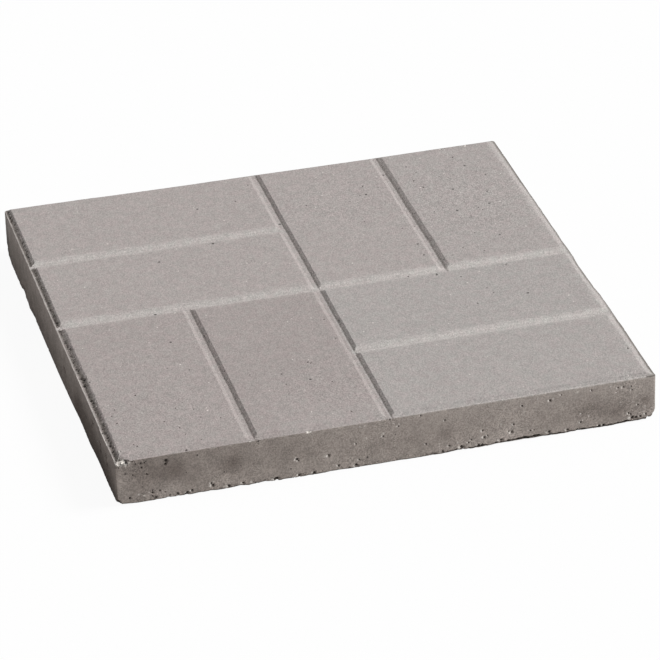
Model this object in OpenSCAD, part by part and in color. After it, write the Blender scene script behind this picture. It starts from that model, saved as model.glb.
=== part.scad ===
// Square concrete paving slab with a basket-weave brick face.
// One casting: the brick faces, the joints moulded between them and the half joint that
// runs round the outer edges are all one solid.
// The origin is the middle of the underside, and the brick faces look up.

/* [Slab] */
// Side of the square slab, measured over its upright sides
slab_w = 400; // [300:5:600]
// Thickness from the underside to the brick faces
slab_t = 38; // [30:1:70]
// Radius of the upright corners
corner_r = 2; // [1:0.5:6]
// Size of the chamfer round the underside
base_chamfer = 1; // [0.5:0.5:4]

/* [Brick pattern] */
// Squares of paired bricks along each side, turned by a quarter from one to the next
weave_count = 2; // [1:1:4]

/* [Moulded joints] */
// Width of a joint across its top, from one brick face to the next
joint_w = 9.8; // [7:0.2:14]
// Width of the flat floor of a joint
joint_floor_w = 3.2; // [1:0.2:5]
// Depth of the joints and of the outer rim below the brick faces
joint_depth = 2.2; // [1:0.2:5]
// Width of the flat rim left outside the bricks along each outer edge
rim_w = 1.7; // [1:0.1:4]
// Radius that softens the top edge of each brick
brick_edge_r = 1.2; // [0.2:0.2:3]

/* [Hidden] */

// Flat steps that make up the rounded top edge of a brick
edge_steps = 4;
// Sides of a full circle at the upright corners
corner_sides = 48;
// Height that cutting shapes rise clear of the brick faces
clear = 1;
// Sloped run of a joint wall, the same for every joint and for the outer edges
wall_run = (joint_w - joint_floor_w) / 2;
// Slope of a joint wall, in degrees from level
wall_angle = atan(joint_depth / wall_run);
// Distance from where wall and brick face would meet to where the rounded edge starts
edge_setback = brick_edge_r * tan(wall_angle / 2);
// Side of one square of paired bricks, from joint centre to joint centre
square_w = slab_w / weave_count;
// Height of the joint floors and of the outer rim
floor_z = slab_t - joint_depth;

// Points of a brick's rounded top edge, from the wall up to the face.
// edge_x is where wall and face would meet, and side is 1 where the wall falls towards +X
function brick_edge(edge_x, side) = [
    for (step = [0 : edge_steps])
        let (turn = wall_angle * (1 - step / edge_steps))
        [
            edge_x - side * edge_setback + side * brick_edge_r * sin(turn),
            slab_t - brick_edge_r + brick_edge_r * cos(turn)
        ]
];

// List in the opposite order
function reversed(points) = [for (i = [len(points) - 1 : -1 : 0]) points[i]];

// Cross-section of the slab: chamfered foot, upright sides, rim and slope up to the brick face
module slab_section() {
    half = slab_w / 2;
    brick_x = half - rim_w - wall_run;
    polygon(concat(
        [
            [-half, base_chamfer],
            [-half + base_chamfer, 0],
            [half - base_chamfer, 0],
            [half, base_chamfer],
            [half, floor_z],
            [half - rim_w, floor_z]
        ],
        brick_edge(brick_x, 1),
        reversed(brick_edge(-brick_x, -1)),
        [
            [-half + rim_w, floor_z],
            [-half, floor_z]
        ]
    ));
}

// The slab section drawn out along Y
module drawn_slab() {
    translate([0, slab_w / 2, 0])
        rotate([90, 0, 0])
            linear_extrude(height = slab_w)
                slab_section();
}

// Upright column that rounds the four corners of the slab
module corner_column() {
    inner = slab_w / 2 - corner_r;
    linear_extrude(height = slab_t + clear)
        union() {
            square([slab_w, 2 * inner], center = true);
            square([2 * inner, slab_w], center = true);
            for (x = [-inner, inner], y = [-inner, inner])
                translate([x, y])
                    circle(r = corner_r, $fn = corner_sides);
        }
}

// Plain block: the same section drawn both ways, so that its edges mitre at the corners
module block() {
    intersection() {
        drawn_slab();
        rotate([0, 0, 90])
            drawn_slab();
        corner_column();
    }
}

// Cutting shape of one joint along X, centred at the origin: a flat floor, sloped walls and
// the rounded edges of the bricks on both sides
module joint(run) {
    brick_x = joint_w / 2;
    cut_x = brick_x + edge_setback;
    translate([-run / 2, 0, 0])
        rotate([90, 0, 90])
            linear_extrude(height = run)
                polygon(concat(
                    [
                        [-joint_floor_w / 2, floor_z],
                        [joint_floor_w / 2, floor_z]
                    ],
                    brick_edge(brick_x, -1),
                    [
                        [cut_x, slab_t + clear],
                        [-cut_x, slab_t + clear]
                    ],
                    reversed(brick_edge(-brick_x, 1))
                ));
}

// Joints between the squares: each crosses the whole slab, one along X and one along Y
module long_joints() {
    for (i = [1 : 1 : weave_count - 1], turn = [0, 90])
        rotate([0, 0, turn])
            translate([0, i * square_w - slab_w / 2, 0])
                joint(slab_w);
}

// Joints between the two bricks of each square, turned by a quarter from square to square
module short_joints() {
    corner = (square_w - slab_w) / 2;
    for (i = [0 : weave_count - 1], j = [0 : weave_count - 1])
        translate([corner + i * square_w, corner + j * square_w, 0])
            rotate([0, 0, (i + j) % 2 == 0 ? 90 : 0])
                joint(square_w);
}

// The whole slab
module paving_slab() {
    color([0.67, 0.64, 0.62])
        difference() {
            block();
            long_joints();
            short_joints();
        }
}

paving_slab();
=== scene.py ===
# %% [markdown]
# # A cast concrete paving slab with a basket-weave brick face
#
# The slab is one casting, so it becomes one mesh. The CAD model holds its true size and its
# section. This lesson dresses it: a mesh whose corners follow the same section but also carry
# what casting and handling leave behind, such as ragged arrises, blow holes and chips, and
# procedural materials for the sandy face, the paler joints and the browner mould sides.
#
# First comes the frame that holds the CAD model, and its box.

import math

import bpy
import numpy as np
from mathutils import Matrix, Vector, noise


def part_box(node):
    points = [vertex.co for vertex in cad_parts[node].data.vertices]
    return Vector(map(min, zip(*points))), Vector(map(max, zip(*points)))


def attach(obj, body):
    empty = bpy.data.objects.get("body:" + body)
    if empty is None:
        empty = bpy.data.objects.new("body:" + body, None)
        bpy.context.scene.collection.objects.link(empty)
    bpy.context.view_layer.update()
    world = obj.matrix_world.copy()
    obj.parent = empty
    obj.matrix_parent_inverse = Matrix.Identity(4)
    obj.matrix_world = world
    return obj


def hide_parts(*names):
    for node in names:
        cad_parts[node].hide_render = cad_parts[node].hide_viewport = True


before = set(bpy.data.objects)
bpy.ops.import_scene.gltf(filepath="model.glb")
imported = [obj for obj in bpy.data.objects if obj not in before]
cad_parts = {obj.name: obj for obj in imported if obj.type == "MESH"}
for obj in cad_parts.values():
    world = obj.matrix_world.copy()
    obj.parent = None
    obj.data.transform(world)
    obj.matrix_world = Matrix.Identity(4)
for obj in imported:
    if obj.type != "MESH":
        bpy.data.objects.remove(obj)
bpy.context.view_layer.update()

# %% [markdown]
# ## Sizes
#
# The slab's side and thickness are read from the CAD node. The section of the moulded joints
# isn't in the frame, so it is repeated here in millimetres, with the names that the CAD source
# gives it. All shape work is done in millimetres and turned to metres once, at the end.

# %% Sizes
MM = 0.001
slab_low, slab_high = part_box("paving_slab")
SLAB_W = round((slab_high[0] - slab_low[0]) / MM, 3)
SLAB_T = round((slab_high[2] - slab_low[2]) / MM, 3)
HALF = SLAB_W / 2

JOINT_W = 9.8
JOINT_FLOOR_W = 3.2
JOINT_DEPTH = 2.2
RIM_W = 1.7
CORNER_R = 2.0
BRICK_EDGE = JOINT_W / 2             # from a joint's centre line to the edge of a brick
FLOOR_EDGE = JOINT_FLOOR_W / 2       # and to the edge of its floor
WALL_RUN = BRICK_EDGE - FLOOR_EDGE
SLOPE_END = RIM_W + WALL_RUN         # from the outline to the edge of the outer bricks
RIM_Z = SLAB_T - JOINT_DEPTH
print("Slab", SLAB_W, "x", SLAB_W, "x", SLAB_T, "mm, joint walls run", round(WALL_RUN, 2), "mm")

# %% [markdown]
# ## Where the joints run
#
# The face is four squares of two bricks. Two long joints cross the slab between the squares, and
# each square has one short joint, turned by a quarter from square to square. A joint is stored
# as the axis it runs along, the place of its centre line across that axis, and where it starts
# and ends. The ends lie on the centre line of the joint that they meet, so walls mitre by
# themselves when the deepest cut wins.

# %% Joints
QUARTER = HALF / 2
JOINTS = [("x", 0, -HALF, HALF), ("y", 0, -HALF, HALF)]
for column, row in ((-1, -1), (-1, 1), (1, -1), (1, 1)):
    along = "y" if column == row else "x"
    centre, middle = (column, row) if along == "y" else (row, column)
    JOINTS.append((along, centre * QUARTER, (middle - 1) * QUARTER, (middle + 1) * QUARTER))
print(len(JOINTS), "joints:", JOINTS)

# %% [markdown]
# ## A lattice over a box
#
# The mesh starts as a box that is covered by a fine integer lattice. Only some lattice points
# become corners. Faces are 4 mm squares on the plain middle of a brick and 2 mm on the front and
# left sides, 1 mm wide along joints and arrises, half a millimetre on the rough slope at the
# left, and a quarter of a millimetre round a small blow hole. One lattice for the whole box
# means that two sides share the corners on their common edge, so the mesh is closed without any
# merging.
#
# The lattice lines aren't evenly spaced everywhere. Near a joint and near an outer edge they
# are pulled on to the corners of the section, so that each crease of the real slab lies on a
# line of corners. Each list below says where the lines that would lie 0, 1, 2 mm and so on away
# from a joint's centre line, the outline, or the foot and the arris of a side come to lie.

# %% Lattice lines
FINEST = 4          # lattice steps in a millimetre
BLOCK_MM = 8        # side of the blocks that the splitting starts from
BLOCK = BLOCK_MM * FINEST
ZONE_MM = 8         # reach of the finer faces on each side of a joint
NEAR_JOINT = [0, 0.8, FLOOR_EDGE, 2.4, 3.2, 4.1, BRICK_EDGE, 6.3, ZONE_MM]
NEAR_EDGE = [0, 0.6, RIM_W, 2.5, 3.3, 4.1, SLOPE_END, 6.3, ZONE_MM]
FOOT_AND_ARRIS = [0, 0.4, 1.1, 2.1, 3.2]
FOOT_ZONE = FOOT_AND_ARRIS[-1]


def plan_line(step):
    """Place across the slab, in mm from its middle, of a lattice line."""
    even = step / FINEST - HALF
    inset = HALF - abs(even)
    if inset < ZONE_MM:
        return math.copysign(HALF - np.interp(inset, range(ZONE_MM + 1), NEAR_EDGE), even)
    centre = QUARTER * round(even / QUARTER)
    away = even - centre
    if abs(away) < ZONE_MM:
        return centre + math.copysign(np.interp(abs(away), range(ZONE_MM + 1), NEAR_JOINT), away)
    return even


def height_line(step):
    """Height in mm of a lattice line on the upright sides, closer together at foot and arris."""
    last = len(FOOT_AND_ARRIS) - 1
    even, top = step / FINEST, TALL / FINEST
    if even < last:
        return float(np.interp(even, range(last + 1), FOOT_AND_ARRIS))
    if top - even < last:
        return RIM_Z - float(np.interp(top - even, range(last + 1), FOOT_AND_ARRIS))
    share = (even - last) / (top - 2 * last)
    return FOOT_ZONE + share * (RIM_Z - 2 * FOOT_ZONE)


WIDE = round(SLAB_W) * FINEST
TALL = round(RIM_Z / BLOCK_MM) * BLOCK
PLAN = [plan_line(step) for step in range(WIDE + 1)]
HEIGHT = [height_line(step) for step in range(TALL + 1)]
print("Lattice", WIDE, "x", WIDE, "x", TALL, "steps")

# %% [markdown]
# ## Blow holes
#
# Casting traps air against the mould, which leaves round blow holes. They could be scattered at random,
# but each slab has its own and the eye finds the large ones, so they are given one by one: a place on a
# side in millimetres, the radius and the depth. The front has most of them, along its foot and below
# its arris. The left side has shallow ones in groups, and the rest are on the top. The smallest
# pinholes are too many for a list and come later, in the material.
#
# Every place is on the plain box that the mesh starts from. Its top is flat at the height of the
# rim, and is only shaped to bricks and joints later.

# %% Blow holes
FRONT_HOLES = [  # x, height, radius, depth
    (-199.5, 31.2, 0.8, 0.8), (-197.3, 31, 0.7, 0.6), (-193.4, 33, 0.5, 0.6),
    (-191.1, 34.3, 1.5, 1.8), (-190, 5.1, 1.1, 0.8), (-187, 23.5, 0.8, 0.7), (-187, 35.2, 0.8, 0.7),
    (-185, 32.3, 0.7, 0.6), (-181, 32.1, 0.8, 0.7), (-180.7, 28.7, 0.9, 0.8),
    (-178.5, 32.2, 0.7, 0.6), (-177, 22.7, 1, 0.9), (-173.8, 3.7, 1, 0.8), (-173.6, 6.5, 1.1, 0.9),
    (-171, 2, 1.2, 1), (-168.4, 7.3, 0.9, 0.7), (-164.7, 5.4, 0.7, 0.6), (-163.5, 28.4, 1.1, 1.2),
    (-162.7, 30.9, 1.6, 1.8), (-161.2, 2.1, 0.9, 0.8), (-155.6, 2.4, 1, 0.9),
    (-148.4, 1.8, 1.3, 1.2), (-145, 3.2, 1.2, 1), (-131, 6.5, 0.9, 0.7), (-130, 4.6, 1.4, 1.2),
    (-118.2, 1.8, 1.6, 1.5), (-108, 2.3, 1.3, 1.1), (-84, 1.2, 1.8, 1.8), (-68.4, 14.8, 1.3, 0.9),
    (-67.4, 13.4, 0.9, 0.7), (-67, 1.4, 1.3, 1.1), (-56, 1.2, 1.4, 1.2), (-45, 13.4, 1.3, 1.5),
    (-38, 4, 1.2, 0.7), (-25, 1.8, 1.5, 1.5), (-25, 19.8, 0.8, 0.6), (-23, 6.2, 0.8, 0.6),
    (-5, 22.3, 0.9, 0.5), (6.4, 28.4, 0.9, 0.6), (23, 34, 0.7, 0.6), (26.7, 10.1, 0.9, 0.8),
    (39, 1.6, 1.3, 1.2), (41, 27, 0.8, 0.6), (43.9, 5.7, 1, 0.9), (53.5, 2.3, 2, 1.9),
    (58.1, 5.7, 0.7, 0.6), (60.3, 7.6, 0.8, 0.7), (66, 1.8, 1.3, 1.2), (68.5, 1.7, 1.2, 1.1),
    (69, 13.4, 1, 0.7), (70.2, 7.9, 1.3, 1.2), (72.4, 8.9, 0.8, 0.7), (83, 2.6, 1.8, 1.6),
    (88.3, 9.5, 0.7, 0.6), (90.9, 8.4, 1.4, 1.4), (92.2, 14.3, 1, 0.8), (98.5, 28.4, 0.9, 0.8),
    (104.4, 7.3, 0.7, 0.6), (107.2, 7.3, 0.7, 0.6), (119, 3.2, 1.5, 1.4), (119.8, 29, 1.2, 1.1),
    (128, 32.3, 0.8, 0.6), (133, 2.6, 1.4, 1.3), (142.8, 7.3, 1, 0.7), (143.3, 14, 0.7, 0.6),
    (151, 31.8, 0.8, 0.6), (157, 1.8, 1.2, 1.1), (160, 1.7, 1.3, 1.2), (171, 30.5, 0.9, 0.6),
    (175, 30.3, 1, 0.8), (179, 8.1, 0.9, 0.8), (180.7, 7.2, 0.9, 0.8), (181, 29.8, 0.8, 0.7),
    (181.6, 27, 0.8, 0.6), (182, 3.5, 1.9, 1.7), (185, 3.3, 1.6, 1.5), (186, 14, 0.8, 0.6),
    (188, 3.6, 1.2, 1.1), (193, 5, 1.4, 1.2),
]
LEFT_HOLES = [  # y, height, radius, depth
    (-173, 18.2, 2.2, 1), (-171.6, 24.4, 1.5, 0.8), (-170.6, 17.6, 2.1, 1), (-169.6, 23.8, 1.9, 0.9),
    (-151, 16.9, 1.9, 0.9), (-150.5, 22.6, 1.4, 0.8), (-148.9, 16.5, 1.7, 0.9),
    (-148.5, 22.3, 1.9, 0.9), (-127.6, 26.8, 1.6, 0.9), (-125.4, 26.6, 1.7, 0.9),
    (-122.5, 21.4, 1.9, 0.8), (-31.2, 17.2, 1.6, 0.9), (-29.2, 17.5, 2, 0.9),
    (-26.4, 17.3, 1.8, 0.9),
]
TOP_HOLES = [  # x, y, radius, depth
    (-199.3, -168.5, 0.8, 0.4), (-198.6, -196.4, 0.6, 0.5), (-198.6, -157.7, 1.1, 0.7),
    (-198.4, 180, 1.2, 1), (-198, -88.5, 1.5, 1.2), (-198, 185.7, 1, 0.9), (-197.9, -62.8, 1, 0.8),
    (-197.7, -77, 1.6, 1.4), (-197.3, 164, 0.9, 0.8), (-197.2, -196.5, 0.7, 0.7),
    (-197.1, -188.2, 1.2, 1), (-196.9, 141.6, 1, 0.8), (-196.5, 126, 1, 0.8), (-196.5, 173, 1, 0.9),
    (-196.2, -80.2, 1.3, 1.2), (-196, -197.3, 0.8, 0.9), (-194.7, -199.3, 1.2, 1.5),
    (-194.6, -88, 0.9, 0.7), (-191.5, -199.2, 1.9, 2.2), (-188.5, -140, 0.77, 0.7),
    (-187, -151, 0.86, 0.9), (-182.3, -183, 0.77, 0.7), (-180.5, -186.4, 0.77, 0.7),
    (-166, -116, 0.77, 0.7), (-154.5, -158.5, 0.77, 0.7), (-148, -198, 1, 0.8),
    (-146, -170, 0.77, 0.7), (-144, -180, 0.7, 0.6), (-142.5, -142.5, 0.7, 0.6),
    (-135.3, -191, 0.7, 0.6), (-135, -85, 0.7, 0.6), (-131, -148, 0.77, 0.7),
    (-115, -165.5, 0.7, 0.6), (-80.5, -112.5, 0.77, 0.7), (-59, -134, 0.7, 0.7),
    (-58, -118, 0.7, 0.8), (-58, 93, 1.12, 1.2), (-36, -107, 0.7, 0.6), (-34, -109, 0.77, 0.7),
    (-24, -185, 0.86, 0.8), (-8, -49, 0.86, 0.8), (-7, -79, 0.77, 0.8), (77, 150, 0.7, 0.6),
    (91, -7, 1.03, 1.1), (91, 26, 0.86, 0.9), (102, -1, 0.8, 0.8), (112, 19, 0.77, 0.7),
    (113, 79, 0.77, 0.8), (118, 147, 0.86, 0.9), (121, -39, 0.77, 0.5), (122, 134, 0.95, 1),
    (123, 28, 0.77, 0.8), (124, 161, 0.77, 0.8), (137, 18, 0.77, 0.7), (146, -8, 0.86, 0.9),
    (159, 177, 0.77, 0.8), (192, -158, 1.03, 1),
]


def on_front(spots):
    """The same spots with the y of the front put in."""
    return [(place, -HALF, *rest) for place, *rest in spots]


def on_left_side(spots):
    """The same spots with the x of the left side put in."""
    return [(-HALF, *spot) for spot in spots]


HOLES = on_front(FRONT_HOLES) + on_left_side(LEFT_HOLES)
HOLES += [(x, y, RIM_Z, radius, depth) for x, y, radius, depth in TOP_HOLES]
print(len(HOLES), "blow holes:", len(FRONT_HOLES), "front,", len(LEFT_HOLES), "left,",
      len(TOP_HOLES), "top")

# %% [markdown]
# ## Chips and scuffs
#
# Handling knocks chips off the arrises and shows fresh, pale concrete. The front left corner is
# broken off. That is three large bowls in a row, whose centres lie in front of the slab so that
# the break faces upwards, and two small ones below. Scuffs are pale rubs, which have no depth.

# %% Chips and scuffs
ARRIS_CHIPS = [  # x, radius, depth
    (-102, 1.2, 0.4), (-93, 1.2, 0.3), (-59.6, 1.8, 1), (-57.8, 1.3, 0.8), (-7, 1.2, 0.3),
    (55, 1.3, 0.4), (84, 1.3, 0.4), (86.5, 1.3, 0.4), (107, 1.2, 0.3), (144, 1.3, 0.5),
    (146.5, 1.2, 0.4), (149.5, 1.3, 0.4),
]
CHIPS = [  # x, y, height, radius, depth
    (-200.5, -202, 36, 5.6, 2.9), (-197, -202, 35.8, 5.4, 2.9), (-194.2, -201.5, 35, 4.2, 2.3),
    (-191.8, -HALF, 32.6, 1.6, 1.2), (-189.2, -HALF, 34, 1.2, 1.2), (-193.6, -189.3, RIM_Z, 1.1, 0.6),
    (175, 194, RIM_Z, 1.4, 0.8), (154, 194, RIM_Z, 1.2, 0.6),
]
CHIPS += [(x, -HALF, RIM_Z, radius, depth) for x, radius, depth in ARRIS_CHIPS]
SCUFFS = on_front([  # x, height, radius, strength
    (-183.6, 7, 1.2, 0.35), (-179.7, 5.3, 1.2, 0.35), (-176.2, 7.4, 1, 0.3), (-130, 7.6, 1, 0.3),
    (-102.5, 2, 1.4, 0.4), (-69.5, 16.3, 1, 0.4), (-22, 33, 1.1, 0.3), (-18.5, 33.2, 1.1, 0.25),
    (-17.5, 23, 1.4, 0.25), (-5, 24.4, 1.2, 0.3), (3, 31.5, 1.3, 0.2), (7, 30, 1.3, 0.25),
    (36.2, 4.5, 0.8, 0.25), (36.2, 6.5, 0.8, 0.3), (36.3, 8.5, 0.8, 0.3), (36.3, 10.5, 0.8, 0.25),
    (50, 7, 1.1, 0.3), (82.5, 16.3, 1.1, 0.3), (100.5, 23, 1.3, 0.2), (122, 30, 1.2, 0.3),
    (140, 32.2, 1.6, 0.3), (144, 9, 1, 0.3), (148.5, 11.5, 1.2, 0.3), (172.4, 18, 0.9, 0.3),
    (173, 16.3, 0.8, 0.3), (190, 8, 1.3, 0.25), (191.5, 11.5, 1.3, 0.3),
])
print(len(CHIPS), "chips and", len(SCUFFS), "scuffs")

# %% [markdown]
# ## An outline that isn't ruled
#
# A mould bulges under wet concrete and the casting is a little out of square. For each side of
# the slab a few stations tell how far its arris, its foot and the edge of the outer bricks stand
# out from the true line. Between the stations the value runs evenly. Along the front the foot
# also has a ragged lower edge, because the mix didn't fill the mould to its floor everywhere, so
# a second list gives the height of that edge.

# %% Outline
# (axis, sign) of the left, right, front and back side: [(place along it, arris, foot, brick
# edge), ...], in mm
OUTLINE = {
    (0, -1): [(-200, -0.4, -0.9, 1.0), (-190, -0.2, -0.8, -0.8), (-180, 0.0, -0.6, -0.9),
              (-165, 0.1, -0.4, -1.0), (-140, 0.1, -0.6, -1.2), (-125, 0.1, -0.2, -1.2),
              (-112, 0.1, 0.25, -1.2), (-75, 0.2, 0.0, -1.3), (-50, 0.3, 0.7, -1.3),
              (-12, 0.3, 1.1, -1.3), (-4, 0.3, 1.2, -0.2), (92, 0.3, 1.3, -0.1),
              (101, 0.3, 1.9, -0.1), (110, 0.3, 1.3, -0.1), (160, 0.3, 1.4, 0.0),
              (178, 0.1, 1.4, 0.2), (200, 0.2, 0.2, 0.2)],
    (0, 1): [(-200, -0.1, -0.2, -1.9), (-191, -0.6, -0.5, -1.9), (-165, -0.45, -0.4, -1.8),
             (-140, -0.1, -0.1, -1.8), (-125, 0.35, 0.3, -1.7), (-112, 0.0, 0.0, -1.7),
             (-86, 0.4, 0.3, -1.6), (-70, 0.3, 0.2, -1.6), (-59, -0.5, -0.5, -1.5),
             (-20, -1.0, -0.9, -1.5), (-8, -0.1, -0.1, -1.5), (7, 0.0, 0.0, -1.5),
             (20, -0.3, -0.3, -1.4), (33, 0.2, 0.2, -1.4), (46, -0.15, -0.1, -1.4),
             (73, 0.3, 0.2, -1.4), (126, 0.3, 0.3, -1.4), (170, 0.8, 0.5, -1.5),
             (200, 0.8, 0.5, -1.6)],
    (1, -1): [(-200, 0.8, 0.4, 0.0), (-100, 0.4, 0.2, 0.0), (0, -0.1, 0.0, 0.0),
              (50, -0.8, 0.0, 0.0), (100, -1.2, -0.1, 0.0), (150, -1.5, -0.5, 0.0),
              (200, -1.8, -1.0, 0.0)],
    (1, 1): [(-200, 0.2, 0.2, 1.6), (-130, 0.2, 0.2, 1.1), (-85, 0.0, 0.0, -0.2),
             (-50, -0.3, 0.0, -0.6), (10, -0.3, 0.0, -0.6), (40, -0.7, 0.0, -1.0),
             (95, -0.7, 0.0, -1.0), (130, -0.3, 0.0, -0.5), (200, -0.1, 0.0, 0.0)],
}
FRONT_LIFT = {  # place along the front: height of the foot's ragged edge there, in mm
    -190: 0.5, -180: 0.1, -155: 0.4, -145: 0.0, -140: 0.5, -125: 0.0, -115: 0.4, -110: 0.9,
    -104: 0.0, -95: 0.7, -85: 0.0, -50: 0.0, -40: 0.3, -20: 0.0, 30: 0.0, 44: 0.2, 50: 0.9,
    60: 0.0, 66: 0.4, 76: 0.5, 80: 1.0, 90: 0.8, 120: 0.7, 130: 0.2, 135: 0.7, 154: 0.5,
    160: 0.0, 166: 0.4, 180: 0.9, 200: 0.9,
}
print("Outline set at", sum(len(stations) for stations in OUTLINE.values()), "stations, foot at",
      len(FRONT_LIFT))

# %% [markdown]
# ## How fine the mesh has to be
#
# A block is halved along one axis at a time until each face is as small as the rule asks. Round
# a hole or a chip the faces are two fifths of its radius, and they grow with the distance from
# it. A scuff only carries colour, so it may be coarser. Across a joint or an arris faces are
# 1 mm, and along a straight joint 2 mm will do. Faces grow to 4 mm on the plain parts, or to
# 2 mm on the front and left sides, whose colours change more quickly.

# %% Split rule
TOP, UNDERSIDE, FRONT, LEFT = 0, 1, 2, 5
PLAIN_MM = 4
CLOSER_MM = 2           # plain parts of the front and the left side, and along a joint
CREASE_MM = 1           # across joints and arrises
ROUGH_SLOPE_MM = 0.5    # on the rough slope at the left
ROUGH_SLOPE = (1, 5)    # where that slope lies, in mm from the outline
FACES_IN_RADIUS = 2.5
SCUFF_GROWTH = 1.6      # a scuff counts as this much larger
SPOTS = [(spot[:3], spot[3]) for spot in HOLES + CHIPS]
SPOTS += [(spot[:3], SCUFF_GROWTH * spot[3]) for spot in SCUFFS]


def gap(low, high, centre):
    """Distance in mm from a box to a point, 0 inside it."""
    return math.sqrt(sum(max(a - c, 0, c - b) ** 2 for a, b, c in zip(low, high, centre)))


def spot_size(low, high, spots, largest):
    """Largest face that the spots near this box allow."""
    near = [radius / FACES_IN_RADIUS + max(gap(low, high, place) - radius, 0)
            for place, radius in spots]
    return min(near + [largest])


def face_sizes(side, low, high, spots):
    """Largest face in mm along x, y and z for the part of a side in this box."""
    seen_closely = side in (FRONT, LEFT)
    size = [spot_size(low, high, spots, CLOSER_MM if seen_closely else PLAIN_MM)] * 3

    def limit(axis, value):
        size[axis] = min(size[axis], value)

    for axis in (0, 1):
        inset = HALF - max(abs(low[axis]), abs(high[axis]))
        upright = side > UNDERSIDE and low[axis] < high[axis]
        if side == TOP and inset < ZONE_MM:
            front_or_left = inset < ZONE_MM / 2 and low[axis] < 0
            limit(axis, CREASE_MM)
            limit(1 - axis, CREASE_MM if front_or_left else CLOSER_MM)
            if axis == 0 and low[0] < 0 and ROUGH_SLOPE[0] < inset < ROUGH_SLOPE[1]:
                limit(0, ROUGH_SLOPE_MM)
                limit(1, ROUGH_SLOPE_MM)
        if side == UNDERSIDE and inset < ZONE_MM / 2 or upright and inset < CORNER_R:
            limit(axis, CREASE_MM)
    for along, centre, start, end in JOINTS if side == TOP else []:
        across, run = (1, 0) if along == "x" else (0, 1)
        beside = low[across] < centre + ZONE_MM and high[across] > centre - ZONE_MM
        if beside and low[run] < end and high[run] > start:
            limit(across, CREASE_MM)
            limit(run, CLOSER_MM)
    if side > UNDERSIDE and (low[2] < FOOT_ZONE or high[2] > RIM_Z - FOOT_ZONE):
        along = CREASE_MM if seen_closely else CLOSER_MM
        for axis, largest in enumerate((along, along, CREASE_MM)):
            limit(axis, largest)
    return size


print("Faces from", 1 / FINEST, "to", PLAIN_MM, "mm, finer round", len(SPOTS), "spots")

# %% [markdown]
# ## Faces over the lattice
#
# Every side of the box is cut by that rule. A first pass notes which lattice points are corners
# of a face. A second pass walks round each face and takes in every corner that a finer neighbour
# put on its edge, so no edge has a loose corner half way along it and the mesh stays closed.

# %% Faces
SPAN = (WIDE, WIDE, TALL)
BOX_SIDES = [  # first axis, second axis, fixed axis, its lattice value; normals point outwards
    (0, 1, 2, TALL), (1, 0, 2, 0), (0, 2, 1, 0), (2, 0, 1, WIDE), (1, 2, 0, WIDE), (2, 1, 0, 0),
]
SPOT_REACH = 2 * PLAIN_MM   # further away than this a spot no longer limits the faces


def lattice_point(side, p, q):
    """Lattice point of a side, p along its first axis and q along its second."""
    first, second, fixed, value = BOX_SIDES[side]
    point = [0, 0, 0]
    point[first], point[second], point[fixed] = p, q, value
    return tuple(point)


def place_mm(point):
    """Place in mm of a lattice point on the plain box."""
    return (PLAN[point[0]], PLAN[point[1]], HEIGHT[point[2]])


def cut(side, p, q, wide, high, spots):
    """Faces of the part of a side that starts at p, q and is this many steps wide and high."""
    low, far = (place_mm(lattice_point(side, *corner)) for corner in ((p, q), (p + wide, q + high)))
    spots = [spot for spot in spots if gap(low, far, spot[0]) < spot[1] + SPOT_REACH]
    size = face_sizes(side, low, far, spots)
    first, second = BOX_SIDES[side][:2]
    if wide > max(1, size[first] * FINEST):
        half = wide // 2
        return cut(side, p, q, half, high, spots) + cut(side, p + half, q, half, high, spots)
    if high > max(1, size[second] * FINEST):
        half = high // 2
        return cut(side, p, q, wide, half, spots) + cut(side, p, q + half, wide, half, spots)
    return [(side, p, q, wide, high)]


def walk_round(side, p, q, wide, high):
    """Lattice points round a face, one step at a time, with a mark on its own corners."""
    for along, across, steps in ((1, 0, wide), (0, 1, high), (-1, 0, wide), (0, -1, high)):
        for i in range(steps):
            yield lattice_point(side, p, q), i == 0
            p += along
            q += across


cells = [cell for side, (first, second, _, _) in enumerate(BOX_SIDES)
         for p in range(0, SPAN[first], BLOCK) for q in range(0, SPAN[second], BLOCK)
         for cell in cut(side, p, q, BLOCK, BLOCK, SPOTS)]
corners = {point for cell in cells for point, own in walk_round(*cell) if own}
order = {point: index for index, point in enumerate(sorted(corners))}
faces = [[order[point] for point, own in walk_round(*cell) if own or point in corners]
         for cell in cells]
face_sides = np.array([cell[0] for cell in cells])
lattice = np.array(sorted(corners))
print(len(lattice), "corners,", len(faces), "faces,", sum(len(f) - 2 for f in faces), "triangles")

# %% [markdown]
# ## Roughness as a field
#
# Perlin noise in three dimensions gives a smooth random value at any place. Its argument is the
# place in millimetres over the size of the bumps, so each use says how large its bumps are. A
# seed moves the field, so that two uses with their own seeds don't share their bumps. Two more
# helpers shape values: a straight ramp, and a profile that runs through given stations.

# %% Noise and other helpers
SEED_STEP = 7.31
plain = np.array([place_mm(point) for point in lattice.tolist()])
x, y, z = plain.T


def rough(size, seed):
    """Noise from -1 to 1 at every corner, with bumps about this many mm apart."""
    return np.array([noise.noise(place) for place in (plain / size + seed * SEED_STEP).tolist()])


def ramp(value, start, end):
    """0 at the start and 1 at the end, straight between and flat beyond."""
    return np.clip((value - start) / (end - start), 0, 1)


def profile(stations, place):
    """Value at each place from {station: value}, straight between stations and flat beyond."""
    return np.interp(place, list(stations), list(stations.values()))


sample = rough(3, 0)
print("Noise of 3 mm bumps runs from", sample.min().round(2), "to", sample.max().round(2))

# %% [markdown]
# ## The brick faces and their joints
#
# A wall of a joint is a straight slope between the brick's edge and the floor. Its share runs
# from 0 at the edge to 1 at the floor. The half joint round the outline comes first. At the left
# of the front brick its slope has crumbled: it is hollow and steepens towards the rim.

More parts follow.
